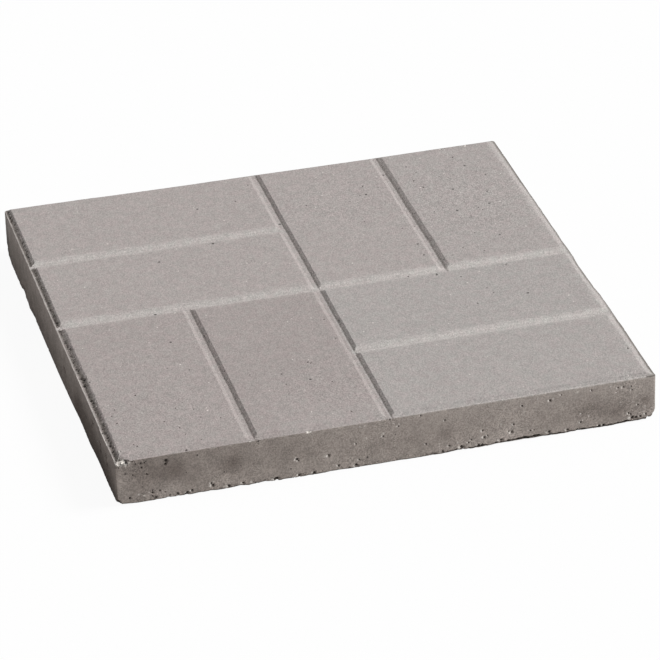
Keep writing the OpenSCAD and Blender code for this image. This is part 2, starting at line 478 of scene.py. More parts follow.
# %% Half joint round the outline
CRUMBLED_CURVE = 1.2    # power that steepens the crumbled slope
CRUMBLED_DEPTH = 0.6    # mm that its hollow goes below the slope
HOLLOW_CURVE = 1.6      # power that moves the hollow's deepest place towards the rim
by_left_edge = x < -np.abs(y)
inset = HALF - np.maximum(np.abs(x), np.abs(y))
outer_share = ramp(inset, SLOPE_END, RIM_W)
crumbled = ramp(y, -8, -16) * by_left_edge
hollow = crumbled * np.sin(math.pi * outer_share ** HOLLOW_CURVE) * (inset > RIM_W)
deep = JOINT_DEPTH * outer_share ** (1 + (CRUMBLED_CURVE - 1) * crumbled) + CRUMBLED_DEPTH * hollow
print("Crumbled slope has", int((hollow > 0).sum()), "corners")

# %% [markdown]
# The joints between the bricks follow, and where two meet the deepest cut wins, which mitres
# their walls.
#
# Colour goes with them, as values from 0 to 1 for the materials, and stations across a joint tell it in
# millimetres from the centre line. The joints that run from left to right have dried paler than the
# bricks, and so have the edges of the bricks behind them. The joints that run from front to back get
# painted shade low on their right wall, which faces away from the lamp, and that wall is sandy.

# %% Joints between the bricks
PALE_ACROSS = {-7.5: 0, -BRICK_EDGE: 0.18, -FLOOR_EDGE: 0.38, 0.8: 0.46, FLOOR_EDGE: 0.58,
               2.4: 0.74, 3.2: 0.8, 4.1: 0.64, BRICK_EDGE: 0.46, 6.3: 0.26, 8.5: 0}
WALL_SHADE_ACROSS = {0.8: 0, FLOOR_EDGE: 0.1, 2.4: 0.45, 3.2: 0.05, 4.1: 0}
SAND_ACROSS = {0.8: 0, 2.4: 1, 4.1: 1, BRICK_EDGE: 0}
PALE_FRONT_TO_BACK = 1 / 8
RIGHT_JOINT_SHADE = 0.14     # more painted shade in the short joint at the right
paler_to_the_right = 1 + 0.16 * ramp(x, -10, 60) + 0.14 * ramp(x, 60, 150)
paleness, grime, sandy = np.zeros((3, len(plain)))
for along, centre, start, end in JOINTS:
    across, run = (y, x) if along == "x" else (x, y)
    aside = across - centre
    within = (run >= start) & (run <= end)
    share = ramp(np.abs(aside), BRICK_EDGE, FLOOR_EDGE)
    cut_here = np.where(within, JOINT_DEPTH * share, 0)
    if along == "x":
        pale = profile(PALE_ACROSS, aside) * paler_to_the_right
    else:
        pale = PALE_FRONT_TO_BACK * share
        # painted shade low on the right wall of the joint, which faces away from the lamp
        wall_shade = profile(WALL_SHADE_ACROSS, aside)
        wall_shade += RIGHT_JOINT_SHADE * (centre == QUARTER) * ramp(aside, 0.8, FLOOR_EDGE)
        wall_shade *= ramp(aside, BRICK_EDGE + 1, BRICK_EDGE)
        grime = np.maximum(grime, within * wall_shade)
        sandy = np.maximum(sandy, within * profile(SAND_ACROSS, aside))
    paleness = np.where(within & (cut_here >= deep), np.maximum(pale, paleness), paleness)
    deep = np.maximum(deep, cut_here)
print("Joints reach", round(float(deep.max()), 2), "mm below the brick faces")

# %% [markdown]
# The half joint gets painted light at the right, where its slope faces the lamp, and at the front a
# painted highlight along the rim that grows towards the right. At the left its slope is darkened with
# dirt and painted shade, as it faces away from the lamp. The rim beside that slope is left light, and
# that unshaded strip is wider in some stretches than in others. A thin dark line also lies on the
# outline at the right.

# %% Painted light on the rims, dirt and painted shade on the left slope
PAINTED_LIGHT_AT_RIGHT = 0.55
PAINTED_HIGHLIGHT_AT_FRONT = 0.5
PALE_BRICK_EDGE = 0.2       # on the right bricks, along the half joint
UNSHADED_STRIP = {  # place along the left: mm that the unshaded strip is wider than the rim
    -190: 0.5, -170: 0.6, -130: 1.0, -75: 1.0, -60: 0.6, -10: 0.6, -5: 0.3, 0: 0, 8: 0.7, 88: 0.7,
    96: 0,
}
at_left = x < ZONE_MM - HALF
at_right = x > HALF - ZONE_MM
at_front = y < ZONE_MM - HALF
upper = z > RIM_Z - 1
# painted light on the right rim and slope, which face the lamp, and a painted highlight on the front
# rim
pale = PAINTED_LIGHT_AT_RIGHT * at_right + PAINTED_HIGHLIGHT_AT_FRONT * at_front * ramp(x, -50, 170)
pale = np.maximum(outer_share * pale, PALE_BRICK_EDGE * ramp(HALF - x, 11, 6))
paleness = np.maximum(paleness, pale) * upper

# dirt and painted shade on the left slope, which faces away from the lamp
full_at = 0.9 - 0.25 * crumbled - 0.35 * (y > 0) * (y < QUARTER)
slope_dirt_and_shade = ramp(outer_share, 0.1 * crumbled, full_at) * (1 - 0.2 * crumbled * ramp(y, -75, -50))
slope_dirt_and_shade *= ramp(inset - profile(UNSHADED_STRIP, y), 0.1, 1.4) * at_left * (paleness < 0.2)
# a thin dark line along the outline at the right
near_end = np.abs(y) > 110
outline_dark_line = (0.8 + 0.2 * near_end) * ramp(inset, 2.2 + 0.4 * near_end, 1.0) * at_right
grime = np.maximum(grime, np.maximum(slope_dirt_and_shade, outline_dark_line)) * upper
print("Pale corners:", int((paleness > 0.2).sum()), "dirty corners:", int((grime > 0.2).sum()))

# %% [markdown]
# ## From box to casting
#
# Each corner now gets its real place. First the whole outline follows its stations. A station
# moves the foot, the arris and the rim with it, and the brick's edge by its own amount, and
# both fade out across the slope or beyond it.

# %% Outline followed
ARRIS_MOVES = {0: 1, RIM_W: 1, SLOPE_END: 0}
BRICK_EDGE_MOVES = {RIM_W: 0, SLOPE_END: 1, ZONE_MM: 0}
skin = plain.copy()
for (axis, sign), stations in OUTLINE.items():
    places, arris, foot, edge = np.array(stations).T
    run, away = plain[:, 1 - axis], HALF - sign * plain[:, axis]
    side_shift = np.interp(run, places, foot) * (1 - z / RIM_Z)
    side_shift += np.interp(run, places, arris) * z / RIM_Z
    side_shift *= profile(ARRIS_MOVES, away)
    side_shift += np.interp(run, places, edge) * profile(BRICK_EDGE_MOVES, away)
    skin[:, axis] += sign * side_shift
print("Outline moves by up to", np.abs(skin - plain).max().round(2), "mm")

# %% [markdown]
# Joint lines wander by a few tenths of a millimetre and take their creases with them, in slow
# bends, short bends and the grain of the edge. The right walls of the joints that run from front
# to back also lean, each joint's by its own amount, and the edge of the crumbled slope is ragged.

# %% Wander and lean
EDGE_LEAN = {-QUARTER: -0.35, 0: -0.35, QUARTER: 0.3}   # centre: mm to the right, at the top
FOOT_LEAN = {-QUARTER: 0.2, 0: 0.0, QUARTER: 0.35}      # centre: mm to the left, at the floor
EDGE_MOVES = {FLOOR_EDGE: 0, BRICK_EDGE: 1, 6.3: 0.5, ZONE_MM: 0}
FOOT_MOVES = {0: 0, FLOOR_EDGE: 1, 2.4: 0.8, BRICK_EDGE: 0}
on_top = lattice[:, 2] == TALL
on_foot = lattice[:, 2] == 0
on_side = ((lattice[:, :2] == 0) | (lattice[:, :2] == WIDE)).any(axis=1)
for axis in (0, 1):
    wander = 0.35 * rough(30, 1 + axis) + 0.22 * rough(5, 3 + axis) + 0.12 * rough(1.7, 5 + axis)
    skin[:, axis] += wander * on_top * ramp(inset, 0, RIM_W)
for along, centre, start, end in JOINTS:
    if along == "y":
        lean = EDGE_LEAN[centre] * profile(EDGE_MOVES, x - centre)
        lean -= FOOT_LEAN[centre] * profile(FOOT_MOVES, x - centre)
        skin[:, 0] += lean * on_top * (y > start) * (y < end)
ragged = 0.45 * rough(2.2, 26) + 0.4 * rough(1.0, 34)
skin[:, 0] += ragged * crumbled * on_top * ramp(inset, 3, 5) * ramp(inset, 8, 6)
print("Ragged edge strays by", np.abs(ragged * crumbled).max().round(2), "mm")

# %% [markdown]
# The four upright corners are rounded. Where both sides are nearer than the corner's radius,
# square rings about the middle of the arc are drawn in to round ones. The same step finds which
# way is outwards everywhere on the sides.

# %% Upright corners
overhang = np.clip(np.abs(plain[:, :2]) - (HALF - CORNER_R), 0, None)
length = np.maximum(np.hypot(*overhang.T), 1e-9)
trim = (overhang > 0).all(axis=1) * (1 - overhang.max(axis=1) / length)
skin[:, :2] -= np.sign(plain[:, :2]) * overhang * trim[:, None]
outward = np.sign(plain[:, :2]) * overhang / length[:, None]
print("Corners trimmed by up to", round(float((overhang.max(axis=1) * trim).max()), 2), "mm")

# %% [markdown]
# ## Relief of the sides
#
# The sides stand in by the waviness of a worn mould and at the chamfered foot. The mix left voids along
# the foot, and small nicks run along the arris. Both could be listed like the blow holes, but there are
# too many, so they are the places where a noise is high. Towards the right of the front the foot is
# undercut, which gives it a dark line, and one stretch of that is a higher ledge.

# %% Sides
FOOT_CHAMFER = 1.0
VOID_DEPTH = 1.3
UNDERCUT_DEPTH = 1.5
NICK_DEPTH = 0.5
WORN_ARRIS = 0.25
from_upright = HALF - np.minimum(np.abs(x), np.abs(y))
voids = ramp(rough(3.2, 7) + 0.4 * rough(1.3, 8), 0.2, 0.5) * ramp(z, 3.6, 1)
voids *= ramp(from_upright, 6, 12)
nicks = ramp(rough(4.5, 9) + 0.5 * rough(1.5, 10), 0.3, 0.6) * ramp(z, RIM_Z - 1.3, RIM_Z)
ledge = ramp(x, 89, 95) * ramp(x, 117, 111)
ledge_z = 1.6 + 1.0 * ledge + 0.6 * rough(2.6, 35)
# the shadow under the undercut is also painted in below, as a dark line along the foot
undercut = ramp(z, ledge_z, ledge_z - 0.9) * ramp(x, 20, 60) * (y < 3 - HALF)
undercut *= np.maximum(ramp(rough(9, 11), -0.4, 0), ledge)
inward = 0.1 * (1 + rough(34, 12)) + 0.07 * (1 + rough(7, 13)) + 0.05 * (1 + rough(2, 14))
inward += FOOT_CHAMFER * ramp(z, 1, 0) + WORN_ARRIS * on_top
inward += VOID_DEPTH * voids + UNDERCUT_DEPTH * undercut + NICK_DEPTH * nicks
skin[:, :2] -= outward * (inward * on_side)[:, None]
print("Sides stand in by up to", (inward * on_side).max().round(2), "mm")

# %% [markdown]
# ## Relief of the top and the foot
#
# On the top a corner is lowered by the depth worked out above and by the slight unevenness of the skin.
# The left slope is rough all along, with crumbs and pits, and its dirt and painted shade are as uneven.
# Along the front the foot is lifted to its ragged edge, and the underside is a little uneven too, but
# nothing goes below the floor that the slab lies on.

# %% Top and foot
CRUMB_PIT_DEPTH = 0.6
crumb = (outer_share > 0) * np.maximum(crumbled, 0.95 * by_left_edge) * (inset > RIM_W)
crumb_pits = crumb * ramp(rough(1.5, 24) + 0.6 * rough(0.9, 25), 0.25, 0.45)
crumb_pits *= ramp(outer_share, 0.15, 0.5)
# uneven dirt and painted shade on the rough left slope
grime = np.clip(grime + 0.45 * crumb * rough(1.3, 41) * ramp(outer_share, 0.1, 0.4), 0, 1)
relief = 0.07 * (1 + rough(45, 15)) + 0.03 * (1 + rough(7, 16)) + 0.02 * (1 + rough(2.5, 17))
relief += crumb * ramp(outer_share, 0, 0.35) * (0.22 * (1 + rough(1.6, 18)) + 0.26 * rough(0.9, 33))
relief += CRUMB_PIT_DEPTH * crumb_pits + (0.15 + 0.3 * nicks) * on_side
skin[:, 2] = np.where(on_top, SLAB_T - deep - relief, skin[:, 2])
near_front_foot = ramp(z, 6, 0) * ramp(HALF + y, 8, 2)
foot_wave = 0.15 * rough(9, 29) + 0.3 * rough(3, 30)
skin[:, 2] += (profile(FRONT_LIFT, x) + foot_wave) * near_front_foot
skin[:, 2] += on_foot * (0.15 * (1 + rough(5, 19)) + 0.4 * voids)
skin[:, 2] = np.maximum(skin[:, 2], 0)
print("Top is uneven by up to", (relief * on_top).max().round(2), "mm")

# %% [markdown]
# ## Holes, chips and blunt places
#
# Bowls go in last. Each pushes the skin straight inwards, and a corner on an arris slantwise,
# over a round patch with a wavy outline. Three corners of the foot and two places along its left
# edge are blunt, which is a smooth bowl of the same kind. At the blunt corner in front at the
# right the underside is pushed slantwise as well, or it would stand out under the side.

# %% Bowls
BLUNT = [  # x, y, height, radius, depth
    (-HALF, -HALF, 0, 5.5, 2.6), (HALF, -HALF, 0, 6.5, 2.9), (-HALF, HALF, 0, 8.0, 3.5),
    (-HALF, 127, 0, 8.0, 2.6), (-HALF, 84, 0, 5.0, 1.2),
]


def bowls(spots, raggedness, steepness, full_depth):
    """How far each corner is pushed in, and how strongly a bowl shows there from 0 to 1.

    A bowl that is at least as deep as full_depth shows fully in its middle.
    """
    push = np.zeros(len(plain))
    shows = np.zeros(len(plain))
    outline = 1 + raggedness * (rough(1.6, 20) + 0.6 * rough(0.8, 27))
    for *centre, radius, depth in spots:
        away = np.linalg.norm(plain - centre, axis=1) / (radius * outline)
        bowl = np.clip(1 - away ** 2, 0, 1)
        push = np.maximum(push, depth * bowl ** steepness)
        shows = np.maximum(shows, bowl * min(1, depth / full_depth))
    return push, shows


# the second value of each pair says how strongly a bowl shows: as painted shade in a blow hole, as pale
# broken concrete in a chip
hole_push, hole = bowls(HOLES, 0.5, 0.5, 0.5)
chip_push, chip = bowls(CHIPS, 0.5, 1.0, 1.2)
blunt_push, _ = bowls(BLUNT, 0.0, 1.0, 1.0)
chip_push *= 1 + 0.4 * rough(1.3, 36)
sideways = on_side | on_foot & (blunt_push > 0) & (x > 0)
into = np.column_stack([-outward * sideways[:, None], on_foot * 1.0 - on_top * 1.0])
into /= np.maximum(np.linalg.norm(into, axis=1), 1e-9)[:, None]
skin += into * np.maximum(np.maximum(hole_push, chip_push), blunt_push)[:, None]
print("Skin spans", skin.min(axis=0).round(2), "to", skin.max(axis=0).round(2), "mm")

# %% [markdown]
# The materials need to know where the skin is broken, and where light and shade are painted. Painted
# shade fills the blow holes, the voids, the shadow under the undercut and the pits of the left slope,
# and the left side is painted darker at both of its ends, with painted shade low at its front end. Pale
# breaks are the chips, the scuffs and the nicks, and flecks on the edge of the right bricks. Painted
# highlights go on the left rim's outer edge, and at the left of most blow holes on the front, where the
# wall that faces the lamp catches its light.

# %% Painted shade, painted highlights and pale breaks
GLINT_STRENGTH = 0.6
GLINTS_FROM = -150      # place along the front where the glints begin
# painted highlights at the left of most blow holes on the front, where the wall facing the lamp is lit
glints = on_front([(place - 1.3 * radius, height, radius, GLINT_STRENGTH)
                   for place, height, radius, _ in FRONT_HOLES if place > GLINTS_FROM])
_, glint_and_scuff = bowls(glints + SCUFFS, 0.5, 1.0, 1.0)
chip = np.maximum(chip * (1 + 0.8 * rough(1.2, 31)), glint_and_scuff * (hole < 0.2))
chip = np.maximum(chip, 0.4 * nicks * on_side)
# painted highlight on the left rim's outer edge
chip = np.maximum(chip, 0.5 * ramp(inset, 1.0, 0.2) * on_top * at_left)
at_brick_edge = np.abs(inset - SLOPE_END) < 0.2
fleck = ramp(rough(4, 21) + 0.6 * rough(1.5, 28) - ramp(y, -60, 0), 0.2, 0.5)
chip = np.maximum(chip, 0.35 * at_brick_edge * (x > HALF - 10) * fleck)

left_side = (x == -HALF) & (y > -HALF)
# the left side painted darker at both ends: painted shade at its front end, strongest low down, and a
# darker stretch at its back end
darker_side_ends = profile({4: 0.5, 14: 0.33}, z) * ramp(y, -100, -135) + 0.44 * ramp(y, 170, 188)
# painted shade in the voids and under the undercut, then in the pits of the left slope, and the darker
# ends of the left side
hole = np.maximum(hole, 0.8 * np.maximum(voids, undercut) * on_side)
hole = np.maximum(np.maximum(hole, 0.8 * crumb_pits), darker_side_ends * left_side)
print("Dark corners:", int((hole > 0.5).sum()), "pale corners:", int((chip > 0.3).sum()))

# %% [markdown]
# ## Tone of the bricks
#
# Pigment and paste never mix quite evenly. Each brick has its own tone, from a darker pinkish
# grey at 0 to a lighter neutral grey at 1, and the second brick from the left in front grows
# lighter towards the front. A corner takes the tone of the brick that it is nearest to.

# %% Tones
BRICK_TONES = {  # (x, y) of a brick's middle: its tone
    (-100, 150): 0.60, (-100, 50): 0.60, (50, 100): 0.62, (150, 100): 0.76,
    (-150, -100): 0.22, (-50, -100): 0.08, (100, -50): 1.0, (100, -150): 0.95,
}
middles = np.array(list(BRICK_TONES))
runs_along_y = np.sign(middles[:, :1]) == np.sign(middles[:, 1:])
half_sizes = np.where(runs_along_y, [QUARTER / 2, QUARTER], [QUARTER, QUARTER / 2])
outside = np.abs(plain[:, None, :2] - middles) / half_sizes
tone = np.array(list(BRICK_TONES.values()))[outside.max(axis=2).argmin(axis=1)]
tone += 0.3 * ramp(y, -140, -195) * (x > -80) * (x < 0) + 0.06 * rough(60, 22)
print("Tones", tone.min().round(2), "to", tone.max().round(2))

# %% [markdown]
# ## Damp clouds and painted shade on the sides
#
# The sides are clouded: damp, dark patches where the form sweated and pale ones where it dried first.
# The front dries towards the right, most of all near its arris and its foot. The left side, which faces
# away from the lamp, is painted darker, and the painted shade grows towards its foot and its front end.
# Over that come soft spots that are given one by one; those on the left side are painted shade low
# down.

# %% Damp and painted shade
FRONT_CLOUDS = [  # x, height, radius, how dark (below 0: how pale)
    (-200, 18, 8, -0.15), (-180, 25, 12, 0.1), (-170, 25, 16, 0.08), (-162, 4, 9, -0.25),
    (-156.5, 22.5, 8, 0.22), (-122, 5, 8, -0.2), (-116, 21, 9, 0.2), (-97, 4, 18, -0.12),
    (-80, 32, 45, 0.05), (-67, 9, 7, -0.15), (-46, 8, 7, -0.2), (-32, 33, 10, 0.07),
    (-30, 12, 25, -0.1), (42, 18, 10, 0.15), (60, 4, 40, -0.08), (70, 28, 15, 0.15),
    (75, 4, 28, -0.2), (90, 10, 10, -0.2), (150, 20, 12, 0.15), (166, 3, 12, 0.15),
    (171, 11, 9, 0.12), (173, 22, 6, 0.1), (193, 17, 5, 0.25),
]
LEFT_SHADE_SPOTS = [  # y, height, radius, how dark: painted shade low on the left side
    (HALF, 8, 12, 0.4), (-110, 2, 14, 0.5), (-80, 2, 14, 0.4),
]


def cloud(centre, radius):
    """1 at a place, fading softly to 0 within about two radii."""
    return np.exp(-(np.linalg.norm(plain - centre, axis=1) / radius) ** 2)


drier = ramp(x, -140, HALF) * (0.12 + 0.33 * ramp(z, 18, 33) + 0.15 * ramp(z, 10, 4))
damp_and_shade = 0.6 - drier - 0.06 * ramp(z, 14, 6) + 0.05 * rough(14, 23) + 0.06 * rough(6, 32)
# painted shade on the left side, which faces away from the lamp, most towards its foot and its front
# end
damp_and_shade += left_side * (0.03 + 0.04 * ramp(y, -40, 0) + 0.2 * ramp(z, RIM_Z, 4) + 0.15 * ramp(y, -20, -90))
damp_and_shade += left_side * 0.12 * ramp(z, 26, 4) * np.exp(-((y + 135) / 50) ** 2)
for *centre, radius, dark in on_front(FRONT_CLOUDS) + on_left_side(LEFT_SHADE_SPOTS):
    damp_and_shade += dark * cloud(centre, radius)
print("Damp on the sides", damp_and_shade[on_side].min().round(2), "to", damp_and_shade[on_side].max().round(2))

# %% [markdown]
# ## Porous patches
#
# Where the mix was dry, or was packed less well, the skin is more pitted and sandy. That is so along
# the foot, on the left slope and the sandy walls, and in soft patches that are listed.

# %% Porous
FRONT_PATCHES = [  # x, height, radius, how porous
    (-185, 28, 12, 0.9), (-175, 3, 16, 0.8), (-125, 3, 18, 0.8), (-25, 5, 14, 0.6), (0, 28, 16, 0.4),
    (60, 6, 14, 0.7), (90, 8, 22, 0.7), (146, 9, 12, 0.7), (178, 29, 12, 0.8), (186, 8, 14, 0.9),
]
TOP_PATCHES = [  # x, y, radius, how porous
    (150, 100, 60, 0.7), (-30, -150, 45, 0.4), (50, 130, 50, 0.4), (-150, -110, 60, 0.15),
    (-160, -150, 55, 0.3),
]
patches = on_front(FRONT_PATCHES)
patches += [(x, y, SLAB_T, radius, amount) for x, y, radius, amount in TOP_PATCHES]
porous = np.maximum(0.5 * ramp(z, 7, 1) * on_side, np.maximum(crumb, 0.9 * sandy))
for *centre, radius, amount in patches:
    porous = np.maximum(porous, amount * cloud(centre, radius))
print("Porous corners:", int((porous > 0.3).sum()))

# %% [markdown]
# ## The mesh
#
# The corners and faces become one closed mesh. Shading is smooth except over creases sharper
# than 24 degrees, such as the foot of a joint wall. Seven values ride along with the corners for
# the materials to read.

# %% Mesh
SHARP = 24
mesh = bpy.data.meshes.new("slab_casting")
mesh.from_pydata((skin * MM).tolist(), [], faces)
carried = {"paleness": paleness, "grime": grime, "hole": hole, "chip": chip, "tone": tone,
           "damp_and_shade": damp_and_shade, "porous": porous}
for name, value in carried.items():
    mesh.attributes.new(name, "FLOAT", "POINT").data.foreach_set("value", value)
mesh.polygons.foreach_set("use_smooth", [True] * len(faces))
mesh.set_sharp_from_angle(angle=math.radians(SHARP))
mesh.validate()
slab = bpy.data.objects.new("slab_casting", mesh)
bpy.context.collection.objects.link(slab)
print("Mesh of", len(mesh.polygons), "faces with", len(carried), "values at each corner")

# %% [markdown]
# ## Helpers for materials
#
# Colours are written as sRGB hex, as a paint chart gives them, and turned to linear light by one
# function. Another adds a node with its settings and links: an input that is given a socket is
# linked to it, and any other input is set. Inputs are named where their names are their own, and
# numbered where Blender repeats a name or hides some: a Mix node of colours has its factor at 0
# and its colours at 6 and 7, and a Map Range has the range it reads at 1 and 2 and the one it
# gives at 3 and 4.

# %% Material helpers
def linear(hex_colour):
    """Linear RGBA of an sRGB hex colour."""
    parts = [int(hex_colour[i:i + 2], 16) / 255 for i in (1, 3, 5)]
    return [p / 12.92 if p <= 0.04045 else ((p + 0.055) / 1.055) ** 2.4 for p in parts] + [1]


def add(tree, kind, inputs=(), **settings):
    """A new node. inputs is {name or number of an input: a value, or a socket to link}."""
    node = tree.nodes.new("ShaderNode" + kind)
    for name, value in settings.items():
        setattr(node, name, value)
    for name, value in dict(inputs).items():
        if isinstance(value, bpy.types.NodeSocket):
            tree.links.new(value, node.inputs[name])
        else:
            node.inputs[name].default_value = value
    return node


def new_material(name):
    """A material with an empty node tree, and that tree."""
    material = bpy.data.materials.new(name)
    material.use_nodes = True
    material.node_tree.nodes.clear()
    return material, material.node_tree


def per_metre(size_mm):
    """Texture scale that puts bumps about this many mm apart, on coordinates in metres."""
    return 1 / (size_mm * MM)


print("Mid grey #808080 is", round(linear("#808080")[0], 3), "in linear light")

# %% [markdown]
# ## Pinholes and light grains
#
# The smallest pinholes, and the light grains between the sand, are cells of a Voronoi pattern.
# Each cell has its own random number, which sets the radius of the spot in it, and most cells
# have none. Where the concrete is porous there are more and larger ones.

# %% Spots
def spots_of(tree, place, size_mm, radius, threshold, porous):
    """1 in the middle of each spot to 0 at its rim, for spots about this many mm apart.

    A spot's radius is up to this share of their spacing. Cells whose own random number is below
    the threshold have none, and where the concrete is porous the threshold is lower.
    """
    cell = add(tree, "TexVoronoi", {"Vector": place, "Scale": per_metre(size_mm)})
    lower = add(tree, "Math", {0: porous, 1: -0.5 * threshold, 2: threshold},
                operation="MULTIPLY_ADD")
    own = add(tree, "MapRange", {0: cell.outputs["Color"], 1: lower.outputs[0], 2: 0.95,
                                 3: 0.001, 4: radius})
    away = add(tree, "Math", {0: cell.outputs["Distance"], 1: own.outputs[0]}, operation="DIVIDE")
    return add(tree, "MapRange", {0: away.outputs[0], 1: 1.0, 2: 0.6}).outputs[0]


PIT_MM = 4
FLECK_MM = 3.5
print("Pinholes", PIT_MM, "mm apart, light grains", FLECK_MM, "mm apart")

# %% [markdown]
# ## Colour from the values on the mesh
#
# A finish has a tone that one value on the mesh blends between stops of colour. Over that lie thin
# layers, each led by its own value: the pale joints with painted light on the right and front rims,
# dirt and painted shade, freshly broken concrete in chips with painted highlights, and painted shade in
# blow holes and other hollows, which also darkens the ends of the left side.

# %% Layers
LAYERS = [  # value on the mesh, where the layer starts and is full, how much it covers, colour
    # pale joints, with painted light on the right and front rims; dirt, with painted shade on the left
    # slope and on joint walls
    ("paleness", 0.0, 1.0, 1.0, "#c5c0bc"), ("grime", 0.0, 1.0, 0.85, "#5f5851"),
    # fresh concrete in chips, with painted highlights; painted shade in blow holes and other hollows,
    # and the darker ends of the left side
    ("chip", 0.05, 0.6, 0.9, "#f2ece5"), ("hole", 0.35, 0.8, 0.9, "#1d1814"),
]


def layered_colour(tree, led_by, stops):
    """Colour of the stops [(value, colour), ...] along the value that leads them, with layers."""
    lead = add(tree, "Attribute", attribute_name=led_by)
    blend = add(tree, "ValToRGB", {0: lead.outputs["Fac"]})
    while len(blend.color_ramp.elements) < len(stops):
        blend.color_ramp.elements.new(1.0)
    for element, (value, colour) in zip(blend.color_ramp.elements, stops):
        element.position = value
        element.color = linear(colour)
    colour = blend.outputs[0]
    for value, start, full, cover, paint in LAYERS:
        shown = add(tree, "Attribute", attribute_name=value)
        factor = add(tree, "MapRange", {0: shown.outputs["Fac"], 1: start, 2: full, 4: cover})
        colour = add(tree, "Mix", {0: factor.outputs[0], 6: colour, 7: linear(paint)},
                     data_type="RGBA").outputs[2]
    return colour


print(len(LAYERS), "layers over the tone")

# %% [markdown]
# ## Concrete
#
# Concrete is sand and stone in cement paste, and one function builds every finish of it. Sand grains
# are cells of a Voronoi pattern, each a little lighter or darker than the paste, and more so where the
# skin is porous. A slow noise mottles the whole, and another lets the hue of the paste drift between a
# warmer and a greener grey. Pinholes are painted darker, as painted shade in them, and go into the bump
# together with the grain of the skin. Real sand has grains down to a tenth of a millimetre. They would
# not show, so here it is as coarse as it needs to be.

# %% Concrete material
MOTTLE_MM = 9
HUE_MM = 7
LIGHT_GRAIN = "#dcd5cf"
PIT_BUMP = -2.0         # a pinhole against the grain of the skin
MATT = 0.88             # roughness, as of dry cement paste; the IOR stays 1.5, like that of sand


def concrete(name, led_by, stops, sand_mm, speckle, mottle, hue, relief_mm, pits, flecks):
    """A finish of concrete. stops is [(value, colour), ...] along the value that leads it.

    speckle and mottle are how much the sand and the slow mottling lighten and darken it, and hue
    is how far its hue drifts. pits and flecks are (radius, threshold) of the pinholes and of the
    light grains.
    """
    material, tree = new_material(name)
    place = add(tree, "TexCoord").outputs["Object"]
    colour = layered_colour(tree, led_by, stops)

    porous = add(tree, "Attribute", attribute_name="porous").outputs["Fac"]
    elsewhere = add(tree, "VectorMath", {0: place, 1: (0.31, 0.17, 0.23)}).outputs[0]
    pit = spots_of(tree, place, PIT_MM, *pits, porous)
    fleck = spots_of(tree, elsewhere, FLECK_MM, *flecks, porous)
    colour = add(tree, "Mix", {0: fleck, 6: colour, 7: linear(LIGHT_GRAIN)},
                 data_type="RGBA").outputs[2]

    paste = add(tree, "TexNoise", {"Vector": elsewhere, "Scale": per_metre(HUE_MM), "Detail": 2.0})
    drift = add(tree, "MapRange", {0: paste.outputs[0], 1: 0.35, 2: 0.65})
    tint = add(tree, "Mix", {0: drift.outputs[0], 6: (1 + hue, 1 - 0.4 * hue, 1, 1),
                             7: (1 - hue, 1 + 0.4 * hue, 1, 1)}, data_type="RGBA")
    colour = add(tree, "VectorMath", {0: colour, 1: tint.outputs[2]},
                 operation="MULTIPLY").outputs[0]

    sand = add(tree, "TexVoronoi", {"Vector": place, "Scale": per_metre(sand_mm)})
    grain = add(tree, "MapRange", {0: sand.outputs["Color"], 3: -speckle, 4: speckle})
    rawer = add(tree, "Math", {0: porous, 1: 1.0}, operation="ADD")
    grain = add(tree, "Math", {0: grain.outputs[0], 1: rawer.outputs[0], 2: 1.0},
                operation="MULTIPLY_ADD")
    slow = add(tree, "TexNoise", {"Vector": place, "Scale": per_metre(MOTTLE_MM), "Detail": 3.0})
    mottling = add(tree, "MapRange", {0: slow.outputs[0], 1: 0.3, 2: 0.7, 3: 1 - mottle,
                                      4: 1 + mottle}, clamp=False)
    # painted shade in the pinholes: the colour is darkened there
    hollow = add(tree, "MapRange", {0: pit, 3: 1.0, 4: 0.3})
    light = add(tree, "Math", {0: grain.outputs[0], 1: mottling.outputs[0]}, operation="MULTIPLY")
    light = add(tree, "Math", {0: light.outputs[0], 1: hollow.outputs[0]}, operation="MULTIPLY")
    colour = add(tree, "VectorMath", {0: colour, "Scale": light.outputs[0]},
                 operation="SCALE").outputs[0]

    skin = add(tree, "TexNoise", {"Vector": place, "Scale": per_metre(sand_mm), "Detail": 2.0,
                                  "Roughness": 0.7})
    height = add(tree, "Math", {0: pit, 1: PIT_BUMP, 2: skin.outputs[0]}, operation="MULTIPLY_ADD")
    bump = add(tree, "Bump", {"Strength": 1.0, "Distance": relief_mm * MM,
                              "Height": height.outputs[0]})
    shader = add(tree, "BsdfPrincipled", {"Base Color": colour, "Roughness": MATT,
                                          "Normal": bump.outputs[0]})
    add(tree, "OutputMaterial", {"Surface": shader.outputs[0]})
    return material


print("Mottling", MOTTLE_MM, "mm apart, hue", HUE_MM, "mm apart, roughness", MATT)

# %% [markdown]
# ## Three finishes
#
# The brick faces were cast against a smooth mould, so they are a matt skin of fine sand, led by the
# tone of each brick. The sides are browner, clouded and more pitted, because that mould was rough and
# let water out, so they are led by the damp and the painted shade. The underside was only struck level,
# so it is the coarsest.

